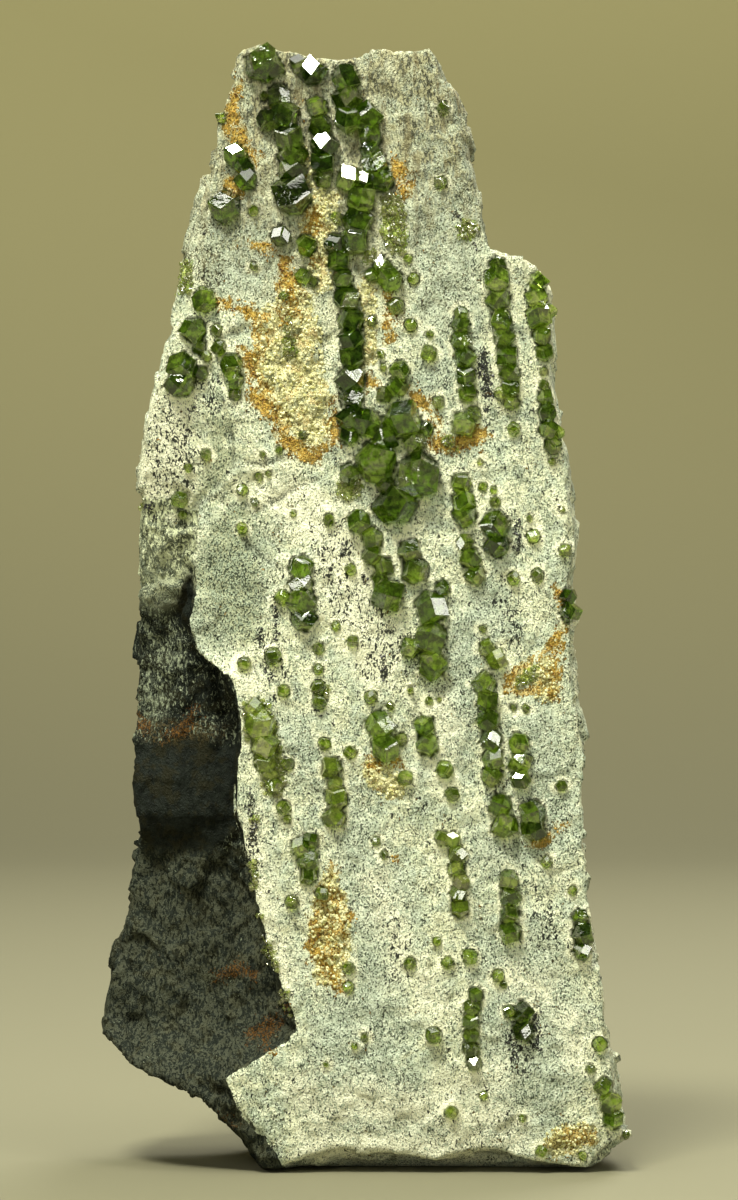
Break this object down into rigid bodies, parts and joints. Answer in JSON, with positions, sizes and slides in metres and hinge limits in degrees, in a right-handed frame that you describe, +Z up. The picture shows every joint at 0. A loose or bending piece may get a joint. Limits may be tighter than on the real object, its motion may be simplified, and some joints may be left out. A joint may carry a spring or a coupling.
{
  "type": "demantoid garnet crystal specimen on matrix",
  "caption": "Upright slab of pale broken serpentine rock with rows of green dodecahedral garnet crystals on its front face and a dark flank at the lower left.",
  "frame": {"origin": "middle of the specimen's box, on the surface that its broken foot stands on", "axes": "+Z up along the slab's length, -Y out of the crystal face, +X to the right as seen from the front"},
  "size_m": [0.1384, 0.0762, 0.2943],
  "materials": {
    "rock": "rough broken stone",
    "garnet": "clear green crystal with glossy faces",
    "small_garnet": "clear yellow-green crystal",
    "rust": "crumbly iron stain",
    "pale_grain": "sugary pale grains",
    "black_grain": "glossy black grains"
  },
  "bodies": {
    "root": {"matrix": "rock", "top_left_crystal": "garnet", "top_middle_pair": "garnet", "upper_left_row": "garnet", "upper_middle_row": "garnet", "main_column": "garnet", "column_right_row": "garnet", "left_upper_trio": "garnet", "left_upper_crystal": "garnet", "shoulder_crystal": "garnet", "column_left_crystal": "garnet", "column_left_pair": "garnet", "left_group_top": "garnet", "left_group_middle": "garnet", "left_group_big": "garnet", "left_group_right": "garnet", "column_right_trio": "garnet", "inner_row": "garnet", "inner_row_foot": "garnet", "notch_row": "garnet", "right_edge_row": "garnet", "right_edge_foot": "garnet", "centre_left_row": "garnet", "centre_right_pair": "garnet", "right_row_head": "garnet", "right_row_foot": "garnet", "right_big_pair": "garnet", "middle_row": "garnet", "right_edge_dark_pair": "garnet", "left_row": "garnet", "left_pale_row": "garnet", "low_left_row": "garnet", "low_middle_crystals": "garnet", "low_middle_pair": "garnet", "right_small_pair": "garnet", "right_row": "garnet", "right_row_end": "garnet", "right_short_row": "garnet", "right_low_pair": "garnet", "foot_middle_row": "garnet", "foot_right_row": "garnet", "foot_left_group": "garnet", "right_edge_low_row": "garnet", "foot_small_row": "garnet", "foot_dark_pair": "garnet", "corner_group": "garnet"}
  },
  "joints": []
}
